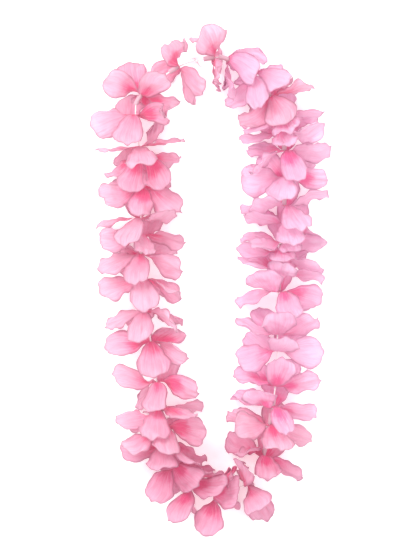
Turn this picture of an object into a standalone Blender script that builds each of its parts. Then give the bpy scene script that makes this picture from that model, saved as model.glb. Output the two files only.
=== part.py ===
"""A lei of fabric flowers, laid flat on a surface.

Forty flower sheets, each cut from one piece of thin cloth with five petals, are threaded on a
closed string through the hole at their centre. A short plastic straw keeps each pair apart.

The loop lies in the XY plane with +Y along its length and the surface at z = 0. Each sheet is shaped
in the space of the string: how far along the string, how far outward from the loop and how far up.
There the sheets only have to keep their order along the string to stay clear of each other.

Lengths are in metres and angles in degrees.
"""

import math
import random

import bmesh
import bpy
import numpy as np
from mathutils import Vector

# The flower sheet.
PETALS = 5
PETAL_REACH = 0.047
SHEET_THICKNESS = 0.0008
HOLE_RADIUS = 0.0014
FLAT_RADIUS = 0.0038
BASE_RADIUS = 0.0075
BASE_SPREAD = 22.0
# Half the petal's width at each distance from the hub, with the waviness of its cut edge there.
PETAL_ROWS = ((0.0175, 0.0112, 0.3), (0.0275, 0.0176, 0.8), (0.0365, 0.0190, 1.0), (0.0435, 0.0128, 0.8))

# The string, its knot and the straws on it.
STRING_RADIUS = 0.0008
STRING_SIDES = 6
STRAW_RADIUS = 0.0024
STRAW_LENGTH = 0.011
KNOT_AT = 0.019
KNOT_RADIUS = 0.0021
TAIL_RADIUS = 0.0007
STRING_HEIGHT = 0.026
CLEARANCE = 0.0003

# The sheets' room along the string: how far apart two sheets keep, and how many neighbours may meet.
SHEET_ROOM = 0.0015
NEIGHBOURS = 4
COMB_ROUNDS = 70
CELL = 0.0015
# How far a petal reaches into a bend, as a share of the bend's radius, and how far along the string.
INNER_REACH = 0.8
SPREAD_LIMIT = 0.075

# How much steeper than just touching a petal comes down, so that its tip lies on the surface.
TIP_LIES = 7.0

SEED = 7

# Each tail of the knot: which side of the tube it leaves from, and its bends as the distances from the
# knot along the string, outward and up.
TAILS = (
    (1, ((0.0012, 0.0020, 0.0036), (0.0030, 0.0028, 0.0066), (0.0058, 0.0026, 0.0088))),
    (4, ((-0.0010, -0.0030, -0.0028), (-0.0022, -0.0056, -0.0046), (-0.0046, -0.0078, -0.0056))),
)

# The string's route, anticlockwise seen from above, from the knot at the loop's top end.
ROUTE = (
    (0.002, 0.232), (-0.034, 0.216), (-0.070, 0.199), (-0.087, 0.174), (-0.073, 0.140),
    (-0.072, 0.100), (-0.075, 0.065), (-0.075, 0.030), (-0.071, -0.010), (-0.066, -0.050),
    (-0.060, -0.090), (-0.054, -0.130), (-0.050, -0.164), (-0.040, -0.193), (-0.015, -0.212),
    (0.016, -0.214), (0.040, -0.201), (0.048, -0.176), (0.054, -0.146), (0.060, -0.115),
    (0.063, -0.075), (0.062, -0.035), (0.063, 0.000), (0.067, 0.035), (0.069, 0.070),
    (0.070, 0.105), (0.070, 0.140), (0.065, 0.170), (0.050, 0.196), (0.030, 0.215),
)


class Bloom:
    """Where one flower sheet sits and how it opens.

    at      distance along the string from the loop's top
    turn    direction of its first petal round the string: 0 outward, 90 up, 180 into the loop
    cup     how far all its petals bend toward the next bloom
    lean    how far the whole sheet tips, its upper side toward the next bloom
    own     the bend, twist and curl of the petals that differ from that, by their number
    """

    def __init__(self, at, turn, cup, lean, own=None):
        self.at = at
        self.turn = turn
        self.cup = cup
        self.lean = lean
        self.own = own or {}


BLOOMS = (
    Bloom(0.000, 52, 5, 0, {
        0: (18, 60, 5), 1: (-8, 10, 10), 2: (-18, 5, 10), 3: (-55, 0, 0), 4: (64, 10, 0),
    }),
    Bloom(0.037, 60, 15, 0, {
        0: (14, 70, 5), 1: (-30, 25, 10), 2: (-5, 10, 5), 3: (55, 20, 0), 4: (-66, 10, 0),
    }),
    Bloom(0.085, 26, 12, -68, {0: (8, -74, 10), 1: (-56, -12, -10), 2: (-14, 60, -10), 4: (-25, 60, 0)}),
    Bloom(0.106, 2, 10, 45, {0: (12, 60, 0), 1: (50, 15, 10), 2: (-10, 52, 20)}),
    Bloom(0.138, 18, 5, 5, {0: (-5, 8, 0), 1: (30, 0, 10), 2: (-6, 8, 0), 3: (-8, 5, 0), 4: (12, 8, 0)}),
    Bloom(0.151, 68, 45, 15, {0: (68, 25, 5), 1: (52, -35, 20), 2: (20, 30, 10), 4: (42, 35, 10)}),
    Bloom(0.180, 26, 15, 35, {0: (4, 68, 0), 1: (66, 8, 0), 2: (36, -50, 10)}),
    Bloom(0.210, -2, 0, 5, {0: (14, 12, 0), 1: (46, 8, 10), 2: (-16, 10, 10), 3: (-9, 8, 0)}),
    Bloom(0.228, 28, 12, 20, {0: (-2, 48, 0), 1: (58, 12, -10), 2: (20, 26, 0)}),
    Bloom(0.246, 10, 10, 35, {0: (14, 45, 0), 1: (56, 10, 0), 2: (18, 52, 5)}),
    Bloom(0.271, 10, 15, 35, {0: (16, 45, 0), 1: (60, 5, 0), 2: (30, 20, 10), 3: (26, 12, 0)}),
    Bloom(0.304, 66, 20, 20, {0: (46, 4, 0), 1: (30, 45, 0), 2: (30, 8, 0), 4: (10, 30, 60)}),
    Bloom(0.334, 14, 8, 60, {0: (-8, 66, 0), 1: (76, 5, 0), 2: (38, 58, 10), 4: (-40, 20, 0)}),
    Bloom(0.375, 18, 8, 58, {0: (-18, 66, 0), 1: (66, -12, 10), 2: (20, 64, 0), 4: (42, 55, 0)}),
    Bloom(0.402, -4, 18, 20, {0: (14, 60, 0), 1: (48, 10, 10), 2: (24, -10, 10), 3: (10, 12, 0)}),
    Bloom(0.419, 22, 15, 30, {0: (14, 34, 0), 1: (52, 10, 0), 2: (18, 64, 0)}),
    Bloom(0.438, -12, 20, 25, {0: (-5, 45, 0), 1: (46, 20, 0), 2: (52, 30, 0), 3: (54, 20, 0)}),
    Bloom(0.462, 22, 30, 20, {0: (20, 62, 0), 1: (60, -30, 0), 2: (66, 20, 0), 4: (34, -30, 0)}),
    Bloom(0.486, 26, 20, 10, {0: (12, 62, 0), 1: (62, 10, 0), 2: (68, 10, 0), 4: (0, 40, 0)}),
    Bloom(0.511, 14, 15, 20, {0: (-16, 66, 0), 1: (74, 0, 0), 2: (70, 0, 0), 4: (10, 40, 0)}),
    Bloom(0.543, 44, 5, 0, {0: (-14, 86, 0), 1: (28, -10, 0), 2: (66, 15, 0), 4: (-4, 74, 0)}),
    Bloom(0.575, -4, 5, -55, {0: (-16, 40, 0), 1: (-66, -20, 0), 2: (-46, 20, 0), 3: (8, 50, 0)}),
    Bloom(0.608, -7, -5, -30, {0: (-22, 60, 0), 1: (-50, -25, 10), 2: (-20, 52, 0), 3: (8, 30, 0)}),
    Bloom(0.627, 57, 0, -20, {0: (-52, -25, 0), 1: (50, -42, 0), 2: (4, 25, 0), 4: (-10, 45, 0)}),
    Bloom(0.647, 12, 10, -50, {0: (-2, 66, 0), 1: (46, 0, 0), 2: (-4, 50, 0), 3: (22, 45, 0)}),
    Bloom(0.682, 10, 5, -45, {0: (2, 78, 0), 1: (18, 0, 0), 2: (-14, 58, 0), 3: (2, 66, 0)}),
    Bloom(0.699, 90, 30, 0, {
        0: (36, 0, 10), 1: (18, 34, 15), 2: (30, 0, 15), 3: (34, 0, 0), 4: (20, 34, 15),
    }),
    Bloom(0.742, 54, 0, -20, {0: (-46, -30, 0), 1: (48, -20, 0), 2: (-26, 28, 0), 4: (-16, 42, 0)}),
    Bloom(0.763, 12, 0, -20, {0: (-10, 26, 0), 1: (52, 15, 0), 2: (14, 20, 0)}),
    Bloom(0.778, 18, -5, -25, {0: (-8, 36, 0), 1: (-56, 0, 0), 2: (-10, 36, 0)}),
    Bloom(0.791, -10, -5, -25, {0: (-10, 42, 0), 1: (-58, -20, 0), 2: (-6, 30, 0), 3: (0, 32, 0)}),
    Bloom(0.810, -2, 0, -30, {0: (-22, 45, 0), 1: (-54, -24, 0), 2: (10, -30, 0)}),
    Bloom(0.828, -14, 0, -10, {0: (28, 20, -60), 1: (-46, -20, 0), 2: (5, -30, 0), 3: (0, 24, 0)}),
    Bloom(0.857, 22, 5, -45, {0: (2, 68, 0), 1: (-50, -10, 0), 2: (4, 66, 0), 3: (8, 60, 0)}),
    Bloom(0.883, -4, 0, -30, {0: (2, 45, 0), 1: (-56, -20, 0), 2: (-20, -40, 0), 3: (-10, 45, 0)}),
    Bloom(0.901, 26, 0, -20, {0: (-8, 40, 0), 1: (-50, 0, 0), 2: (-4, 20, 0)}),
    Bloom(0.916, 0, 0, -5, {0: (-20, 14, 0), 1: (-50, -10, 0), 2: (-3, 14, 0), 3: (3, 10, 0)}),
    Bloom(0.939, 12, -10, -40, {0: (-22, 22, 0), 1: (-58, -5, 0), 2: (-16, 58, 0), 3: (-6, 50, 0)}),
    Bloom(0.965, 38, -10, -20, {0: (-56, -20, 0), 1: (-50, 20, 0), 2: (-8, 66, 0), 4: (-74, 10, 0)}),
    Bloom(0.995, 76, -10, -25, {
        0: (-60, -5, 0), 1: (-20, -14, 0), 2: (-4, 25, 0), 3: (-68, 0, 0), 4: (-72, 30, 0),
    }),
)


def turned(angle):
    """The sine and cosine of an angle in degrees."""
    return math.sin(math.radians(angle)), math.cos(math.radians(angle))


class Route:
    """The closed smooth curve through the route's points, measured along its length."""

    STEPS = 40

    def __init__(self, points):
        corners = np.array(points)
        rounded = (np.roll(corners, 1, axis=0) + 2.0 * corners + np.roll(corners, -1, axis=0)) / 4.0
        curve = []
        count = len(rounded)
        for i in range(count):
            before, start, end, after = (rounded[(i + k) % count] for k in (-1, 0, 1, 2))
            for t in np.arange(self.STEPS) / self.STEPS:
                curve.append(0.5 * (
                    2.0 * start
                    + (end - before) * t
                    + (2.0 * before - 5.0 * start + 4.0 * end - after) * t ** 2
                    + (3.0 * start - before - 3.0 * end + after) * t ** 3
                ))
        curve = np.array(curve)
        for _ in range(60):
            curve = (np.roll(curve, 1, axis=0) + 2.0 * curve + np.roll(curve, -1, axis=0)) / 4.0
        closed = np.vstack([curve, curve[:1]])
        steps = np.linalg.norm(np.diff(closed, axis=0), axis=1)
        self.stops = np.concatenate([[0.0], np.cumsum(steps)])
        self.length = float(self.stops[-1])
        self.closed = closed

    def place(self, along):
        """The points on the curve at distances along it."""
        along = np.mod(along, self.length)
        x = np.interp(along, self.stops, self.closed[:, 0])
        y = np.interp(along, self.stops, self.closed[:, 1])
        return np.stack([x, y], axis=-1)

    def outward(self, along):
        """The unit directions that point out of the loop."""
        step = 0.002
        ahead = self.place(along + step) - self.place(along - step)
        ahead = ahead / np.linalg.norm(ahead, axis=-1, keepdims=True)
        return np.stack([ahead[..., 1], -ahead[..., 0]], axis=-1)

    def bend_radius(self, along):
        """How tightly the curve bends: its radius there, as a positive number for a bend about the loop."""
        step = 0.016
        out_before = self.outward(along - step)
        out_after = self.outward(along + step)
        cross = out_before[..., 0] * out_after[..., 1] - out_before[..., 1] * out_after[..., 0]
        turn = np.arcsin(np.clip(cross, -1.0, 1.0))
        return 2.0 * step / np.where(np.abs(turn) < 1e-3, 1e-3, turn)

    def world(self, along, out, up):
        """World points from distances along the string, outward from it and up from it."""
        flat = self.place(along) + self.outward(along) * np.asarray(out)[..., None]
        height = np.broadcast_to(STRING_HEIGHT + np.asarray(up), flat.shape[:-1])
        return np.concatenate([flat, height[..., None]], axis=-1)


def sheet_faces():
    """The triangles of one flat sheet, in the order of its points.

    The points are the hole's ring, the flat ring, the base ring with three points a petal, and then
    each petal's rows of three with its tip.
    """
    faces = []
    flat = PETALS
    base = 2 * PETALS
    first = base + 3 * PETALS
    per_petal = 3 * len(PETAL_ROWS) + 1
    for k in range(PETALS):
        after = (k + 1) % PETALS
        faces += [(k, flat + k, flat + after), (k, flat + after, after)]
        left, middle, right = base + 3 * k, base + 3 * k + 1, base + 3 * k + 2
        faces += [(flat + k, left, middle), (flat + k, middle, right)]
        faces += [(flat + k, right, flat + after), (flat + after, right, base + 3 * after)]
        lower = [left, middle, right]
        for row in range(len(PETAL_ROWS)):
            upper = [first + per_petal * k + 3 * row + c for c in range(3)]
            faces += [(lower[0], upper[0], upper[1]), (lower[0], upper[1], lower[1])]
            faces += [(lower[1], upper[1], upper[2]), (lower[1], upper[2], lower[2])]
            lower = upper
        tip = first + per_petal * k + per_petal - 1
        faces += [(lower[0], tip, lower[1]), (lower[1], tip, lower[2])]
    return faces


class Petal:
    """One petal's bend, twist and curl, worked out from its bloom."""

    def __init__(self, bloom, index, rng):
        self.direction = bloom.turn + 360.0 / PETALS * index + rng.uniform(-2.5, 2.5)
        rise, out = turned(self.direction)
        bend = bloom.cup + bloom.lean * rise + rng.uniform(-10.0, 10.0)
        shared = (bend, bloom.lean * out, rng.uniform(-20.0, 30.0))
        bend, twist, curl = bloom.own.get(index, shared)
        self.bend = bend + rng.uniform(-3.0, 3.0)
        self.twist = twist + rng.uniform(-6.0, 6.0)
        self.curl = curl + rng.uniform(-10.0, 14.0)
        self.dish = rng.uniform(-14.0, 22.0)
        self.wave = [rng.uniform(-1.0, 1.0) for _ in range(2 * len(PETAL_ROWS))]
        self.rest_on_surface()

    def rest_on_surface(self):
        """Bends a petal that points down until its tip meets the surface."""
        drop = -turned(self.direction)[0] * PETAL_REACH
        if drop <= STRING_HEIGHT:
            return
        least = math.degrees(math.acos(STRING_HEIGHT / drop)) - TIP_LIES
        sign = 1.0 if self.bend >= 0.0 else -1.0
        self.bend = sign * max(abs(self.bend), least)
        self.curl = sign * abs(self.curl) * 0.6

    def centre_line(self, reach):
        """The distance from the string and the height along it, at a distance from the hub."""
        steps = 24
        out, along, angle = 0.0, 0.0, 0.0
        for i in range(steps):
            a = reach * (i + 0.5) / steps
            ramp = min(max((a - FLAT_RADIUS) / 0.009, 0.0), 1.0)
            ramp = ramp * ramp * (3.0 - 2.0 * ramp)
            tip = max(a / PETAL_REACH - 0.35, 0.0)
            angle = min(max(self.bend * ramp + self.curl * tip, -78.0), 78.0)
            sine, cosine = turned(angle)
            out += cosine * reach / steps
            along += sine * reach / steps
        return out, along, angle

    def point(self, reach, across, wave=0.0):
        """The outward, up and along distances of a point of the petal.

        reach is its distance from the hub along the petal and across its distance to the side.
        """
        out, along, angle = self.centre_line(reach)
        full = min(max((reach - FLAT_RADIUS) / 0.014, 0.0), 1.0)
        twist_sine, twist_cosine = turned(self.twist * full)
        bend_sine, bend_cosine = turned(angle)
        lift = self.dish * across * across + wave
        side = across * twist_cosine - lift * twist_sine
        normal = across * twist_sine + lift * twist_cosine
        out -= normal * bend_sine
        along += normal * bend_cosine
        sine, cosine = turned(self.direction)
        return out * cosine - side * sine, out * sine + side * cosine, along


class Sheet:
    """One flower sheet: its points round the string and how far each lies along it."""

    def __init__(self, bloom, route, rng):
        self.at = bloom.at
        petals = [Petal(bloom, k, rng) for k in range(PETALS)]
        points = []
        for radius in (HOLE_RADIUS, FLAT_RADIUS):
            for petal in petals:
                sine, cosine = turned(petal.direction)
                points.append((radius * cosine, radius * sine, 0.0))
        sine, cosine = turned(BASE_SPREAD)
        for petal in petals:
            for side in (-1.0, 0.0, 1.0):
                points.append(petal.point(BASE_RADIUS * (cosine if side else 1.0), side * BASE_RADIUS * sine))
        for petal in petals:
            for row, (reach, half, waviness) in enumerate(PETAL_ROWS):
                for side in (-1.0, 0.0, 1.0):
                    wave = 0.0025 * waviness * petal.wave[2 * row + (side > 0)] if side else 0.0
                    points.append(petal.point(reach, side * half, wave))
            points.append(petal.point(PETAL_REACH, 0.0))
        points = np.array(points)
        self.up = np.maximum(points[:, 1], SHEET_THICKNESS / 2.0 - STRING_HEIGHT)
        # On the inside of the string's bend there is less room along it, and more on the outside.
        radius = route.bend_radius(self.at + points[:, 2])
        reach = INNER_REACH * radius
        inside = (points[:, 0] < 0.0) & (radius > 0.0)
        self.out = np.where(inside, -reach * np.tanh(-points[:, 0] / np.abs(reach)), points[:, 0])
        self.squeeze = np.clip(1.0 + self.out / radius, 0.25, 2.0)
        spread = points[:, 2] / self.squeeze
        self.along = SPREAD_LIMIT * np.tanh(spread / SPREAD_LIMIT)
        self.wanted = self.along.copy()
        self.loose = np.ones(len(points))
        self.loose[:2 * PETALS] = 0.0


def spread_samples(sheet, faces):
    """Points spread over a sheet's triangles, as the corners and weights that make each one."""
    corners, weights, room = [], [], []
    flat = np.stack([sheet.out, sheet.up], axis=1)
    for face in faces:
        sides = [np.linalg.norm(flat[face[i]] - flat[face[i - 1]]) for i in range(3)]
        count = max(2, int(math.ceil(max(sides) / (CELL * 0.7))))
        normal = np.cross(
            np.append(flat[face[1]] - flat[face[0]], sheet.along[face[1]] - sheet.along[face[0]]),
            np.append(flat[face[2]] - flat[face[0]], sheet.along[face[2]] - sheet.along[face[0]]),
        )
        steep = min(np.linalg.norm(normal) / max(abs(normal[2]), 1e-9), 3.2)
        squeeze = np.mean([sheet.squeeze[i] for i in face])
        for i in range(count + 1):
            for j in range(count + 1 - i):
                corners.append(face)
                weights.append((i / count, j / count, (count - i - j) / count))
                room.append(SHEET_ROOM * steep / squeeze)
    return np.array(corners), np.array(weights), np.array(room)


class Comb:
    """Moves the sheets' points along the string until no sheet passes through its neighbours."""

    def __init__(self, sheets, faces, length):
        self.sheets = sheets
        self.length = length
        self.samples = []
        for sheet in sheets:
            corners, weights, room = spread_samples(sheet, faces)
            out = (sheet.out[corners] * weights).sum(axis=1)
            up = (sheet.up[corners] * weights).sum(axis=1)
            column = np.round(out / CELL).astype(int) + 60
            row = np.round(up / CELL).astype(int) + 60
            self.samples.append((corners, weights, room, column * 128 + row))
        self.near = np.zeros((len(sheets[0].out), len(sheets[0].out)))
        for face in faces:
            for i in range(3):
                self.near[face[i], face[i - 1]] = self.near[face[i - 1], face[i]] = 1.0
        self.near /= self.near.sum(axis=1, keepdims=True)

    def heights(self, i):
        """How far along the string each sample of a sheet lies."""
        corners, weights, _, _ = self.samples[i]
        return self.sheets[i].at + (self.sheets[i].along[corners] * weights).sum(axis=1)

    def round(self, smooth):
        """One round: eases every sheet's shape, then parts each pair that meet."""
        count = len(self.sheets)
        for sheet in self.sheets:
            moved = sheet.along - sheet.wanted
            moved += smooth * (self.near @ moved - moved)
            sheet.along = sheet.wanted + moved * sheet.loose
        heights = [self.heights(i) for i in range(count)]
        push = [np.zeros(len(s.out)) for s in self.sheets]
        share = [np.full(len(s.out), 1e-9) for s in self.sheets]
        cells = 128 * 128
        for i in range(count):
            for step in range(1, NEIGHBOURS + 1):
                j = (i + step) % count
                shift = self.length if i + step >= count else 0.0
                cell_i, cell_j = self.samples[i][3], self.samples[j][3]
                room = self.samples[i][2]
                front = np.full(cells, -np.inf)
                np.maximum.at(front, cell_i, heights[i] + room)
                back = np.full(cells, np.inf)
                np.minimum.at(back, cell_j, heights[j] + shift)
                over_i = heights[i] + room - back[cell_i]
                over_j = front[cell_j] - heights[j] - shift
                for k, over, sign in ((i, over_i, -0.5), (j, over_j, 0.5)):
                    hit = over > 0.0
                    if not hit.any():
                        continue
                    corners, weights = self.samples[k][0][hit], self.samples[k][1][hit]
                    loose = self.sheets[k].loose[corners] * weights
                    amount = sign * over[hit][:, None] * loose
                    np.add.at(push[k], corners.ravel(), amount.ravel())
                    np.add.at(share[k], corners.ravel(), loose.ravel())
        for sheet, amount, weight in zip(self.sheets, push, share):
            sheet.along = sheet.along + 1.4 * amount / weight


def vertex_normals(points, faces):
    """The unit normals of a sheet's points."""
    normals = np.zeros_like(points)
    for face in faces:
        a, b, c = (points[i] for i in face)
        normal = np.cross(b - a, c - a)
        for i in face:
            normals[i] += normal
    return normals / np.linalg.norm(normals, axis=1, keepdims=True)


def thicken(points, faces):
    """A closed mesh of the sheet's thickness about its middle surface, split alike on both faces."""
    half = SHEET_THICKNESS / 2.0
    offset = half * vertex_normals(points, faces)
    lying = points[:, 2] < half + 1e-6
    offset[lying, 2] = np.where(offset[lying, 2] < 0.0, -half, half)
    upper = points + offset
    lower = points - offset
    upper[:, 2] = np.maximum(upper[:, 2], 0.0)
    lower[:, 2] = np.maximum(lower[:, 2], 0.0)
    count = len(points)
    edges = {}
    for face in faces:
        for i in range(3):
            edges[(face[i], face[(i + 1) % 3])] = True
    solid = [tuple(face) for face in faces]
    solid += [tuple(i + count for i in reversed(face)) for face in faces]
    for a, b in edges:
        if (b, a) not in edges:
            solid += [(b, a, a + count), (b, a + count, b + count)]
    return np.vstack([upper, lower]), solid


def add_object(name, points, faces, material):
    """Adds a mesh object with its faces pointing out."""
    mesh = bpy.data.meshes.new(name)
    mesh.from_pydata([Vector(p) for p in points], [], faces)
    solid = bmesh.new()
    solid.from_mesh(mesh)
    bmesh.ops.recalc_face_normals(solid, faces=solid.faces)
    solid.to_mesh(mesh)
    solid.free()
    mesh.materials.append(material)
    mesh.shade_smooth()
    mesh.set_sharp_from_angle(angle=math.radians(50.0))
    thing = bpy.data.objects.new(name, mesh)
    bpy.context.collection.objects.link(thing)
    return thing


def plain_material(name, colour, roughness):
    """A Principled material of one colour."""
    material = bpy.data.materials.new(name)
    material.use_nodes = True
    shader = material.node_tree.nodes["Principled BSDF"]
    shader.inputs["Base Color"].default_value = (*colour, 1.0)
    shader.inputs["Roughness"].default_value = roughness
    shader.inputs["Metallic"].default_value = 0.0
    material.diffuse_color = (*colour, 1.0)
    return material


def tube_rings(route, rings, open_sides):
    """Points and triangles of a closed tube round the string.

    rings gives the distance along and the radius of each ring. open_sides names the (ring, side) squares
    that are left open, and each of them comes back as its four corners.
    """
    points = []
    for along, radius in rings:
        for side in range(STRING_SIDES):
            sine, cosine = turned(360.0 * side / STRING_SIDES)
            points.append(route.world(np.array(along), np.array(radius * cosine), radius * sine))
    faces = []
    mouths = {}
    for ring in range(len(rings)):
        after = (ring + 1) % len(rings)
        for side in range(STRING_SIDES):
            beside = (side + 1) % STRING_SIDES
            a, b = ring * STRING_SIDES + side, ring * STRING_SIDES + beside
            c, d = after * STRING_SIDES + beside, after * STRING_SIDES + side
            if (ring, side) in open_sides:
                mouths[(ring, side)] = (a, b, c, d)
            else:
                faces += [(a, b, c), (a, c, d)]
    return points, faces, mouths


def add_tail(route, points, faces, mouth, bends):
    """Grows a square tail out of an open side of the tube, through its bends, and closes its end."""
    last = mouth
    for along, out, up in bends:
        ring = []
        for step_along, step_side in ((-1.0, -1.0), (-1.0, 1.0), (1.0, 1.0), (1.0, -1.0)):
            shift = TAIL_RADIUS * step_side * (1.0 if up > 0.0 else -1.0)
            place = np.array(KNOT_AT + along + TAIL_RADIUS * step_along)
            ring.append(len(points))
            points.append(route.world(place, np.array(out - shift * 0.8), up + shift * 0.6))
        for k in range(4):
            a, b, c, d = last[k], last[(k + 1) % 4], ring[(k + 1) % 4], ring[k]
            faces += [(a, b, c), (a, c, d)]
        last = ring
    faces += [(last[0], last[1], last[2]), (last[0], last[2], last[3])]


def make_string(route, middle, material):
    """The closed string with its knot and tails, and its straws, one between each bloom and the next."""
    start = SHEET_THICKNESS / 2.0 + CLEARANCE
    rings = []
    knot_ring = 0
    for i, bloom in enumerate(BLOOMS):
        near = bloom.at + start
        far = near + STRAW_LENGTH
        rings += [(near, STRING_RADIUS), (near, STRAW_RADIUS)]
        rings += [((near + far) / 2.0, STRAW_RADIUS), (far, STRAW_RADIUS), (far, STRING_RADIUS)]
        following = BLOOMS[i + 1].at if i + 1 < len(BLOOMS) else BLOOMS[0].at + route.length
        if i == 0:
            knot_ring = len(rings) + 1
            rings += [(KNOT_AT - 0.0030, STRING_RADIUS), (KNOT_AT - 0.0011, KNOT_RADIUS)]
            rings += [(KNOT_AT + 0.0011, KNOT_RADIUS), (KNOT_AT + 0.0030, STRING_RADIUS)]
        elif following - far > 0.008:
            rings.append(((far + following) / 2.0, STRING_RADIUS))
    sides = [(knot_ring, side) for side, _ in TAILS]
    points, faces, mouths = tube_rings(route, rings, sides)
    for side, bends in TAILS:
        add_tail(route, points, faces, mouths[(knot_ring, side)], bends)
    return add_object("string", np.array(points) - middle, faces, material)


def main():
    """Builds the blooms and the string."""
    for thing in list(bpy.data.objects):
        bpy.data.objects.remove(thing, do_unlink=True)
    rng = random.Random(SEED)
    route = Route(ROUTE)
    faces = sheet_faces()
    sheets = [Sheet(bloom, route, rng) for bloom in BLOOMS]
    comb = Comb(sheets, faces, route.length)
    for turn in range(COMB_ROUNDS):
        comb.round(0.25 if turn < COMB_ROUNDS * 0.7 else 0.0)
    cloth = plain_material("petal_cloth", (0.90, 0.42, 0.55), 0.75)
    thread = plain_material("string_white", (0.86, 0.85, 0.82), 0.6)
    solids = []
    for sheet in sheets:
        points = route.world(sheet.at + sheet.along, sheet.out, sheet.up)
        solids.append(thicken(points, faces))
    spread = np.vstack([points for points, _ in solids])
    middle = (spread.min(axis=0) + spread.max(axis=0)) / 2.0
    middle[2] = 0.0
    for number, (points, solid_faces) in enumerate(solids, start=1):
        add_object(f"bloom_{number:02d}", points - middle, solid_faces, cloth)
    make_string(route, middle, thread)


main()
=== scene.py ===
"""Dresses a lei: forty fabric flower sheets on a knotted string, with a straw spacer between each two."""
import logging
import math
import random
from dataclasses import dataclass, field
from enum import Enum

import bmesh
import bpy
import numpy as np
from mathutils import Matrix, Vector, noise
from mathutils.bvhtree import BVHTree
from mathutils.kdtree import KDTree


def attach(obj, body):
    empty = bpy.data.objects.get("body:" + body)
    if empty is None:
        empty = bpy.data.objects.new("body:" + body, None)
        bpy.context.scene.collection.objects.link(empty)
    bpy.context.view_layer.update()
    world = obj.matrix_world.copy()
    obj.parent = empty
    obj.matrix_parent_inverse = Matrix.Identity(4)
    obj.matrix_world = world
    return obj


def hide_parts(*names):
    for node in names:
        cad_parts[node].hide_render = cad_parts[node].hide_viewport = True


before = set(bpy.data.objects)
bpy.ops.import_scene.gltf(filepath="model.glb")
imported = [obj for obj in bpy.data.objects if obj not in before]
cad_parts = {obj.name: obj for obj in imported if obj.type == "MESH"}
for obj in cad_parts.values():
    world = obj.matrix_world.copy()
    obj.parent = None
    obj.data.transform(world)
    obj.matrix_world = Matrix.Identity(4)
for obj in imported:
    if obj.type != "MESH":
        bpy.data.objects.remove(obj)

LOG = logging.getLogger("lei")
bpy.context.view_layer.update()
MM = 0.001
TURN = 2.0 * math.pi
PETALS = 5


def linear(red: int, green: int, blue: int) -> tuple[float, float, float, float]:
    """A screen colour of 0 to 255 a channel as the shader's linear colour."""
    return (*(((c / 255.0 + 0.055) / 1.055) ** 2.4 for c in (red, green, blue)), 1.0)


def mesh_of(name: str, shape: bmesh.types.BMesh) -> bpy.types.Mesh:
    """Writes a bmesh into a new mesh of this name and frees it."""
    mesh = bpy.data.meshes.new(name)
    shape.to_mesh(mesh)
    shape.free()
    return mesh


def placed(name: str, data: bpy.types.ID) -> bpy.types.Object:
    """Puts a new object of this name and data in the scene."""
    piece = bpy.data.objects.new(name, data)
    bpy.context.collection.objects.link(piece)
    return piece


class Wire:
    """A shader socket that takes part in sums, each of which adds its Math node."""

    def __init__(self, graph: "Graph", socket: bpy.types.NodeSocket) -> None:
        """Keeps the graph that the socket is in."""
        self.graph = graph
        self.socket = socket

    def maths(self, operation: str, *values: "Wire | float") -> "Wire":
        """Adds a Math node with this wire as its first input.

        Args:
            operation: The Math node's operation.
            values: Its other inputs, in order.

        Returns:
            The node's result.
        """
        inputs = dict(enumerate((self, *values)))
        return self.graph.node("ShaderNodeMath", inputs, operation=operation).out()

    def __add__(self, other: "Wire | float") -> "Wire":
        """Sum."""
        return self.maths("ADD", other)

    def __sub__(self, other: "Wire | float") -> "Wire":
        """Difference."""
        return self.maths("SUBTRACT", other)

    def __rsub__(self, other: float) -> "Wire":
        """Difference from a number."""
        return self.maths("MULTIPLY_ADD", -1.0, other)

    def __mul__(self, other: "Wire | float") -> "Wire":
        """Product."""
        return self.maths("MULTIPLY", other)

    def __pow__(self, other: "Wire | float") -> "Wire":
        """Power."""
        return self.maths("POWER", other)

    def above(self, level: float) -> "Wire":
        """How far the wire is above a level, or 0."""
        return (self - level).maths("MAXIMUM", 0.0)

    def below(self, level: float) -> "Wire":
        """How far the wire is below a level, or 0."""
        return (level - self).maths("MAXIMUM", 0.0)

    __radd__ = __add__
    __rmul__ = __mul__


class Shade:
    """One shader node that hands out its results as wires."""

    def __init__(self, graph: "Graph", node: bpy.types.Node) -> None:
        """Keeps the graph that the node is in."""
        self.graph = graph
        self.node = node

    def out(self, name: str | int = 0) -> Wire:
        """The wire of one of the node's outputs."""
        return Wire(self.graph, self.node.outputs[name])


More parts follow.
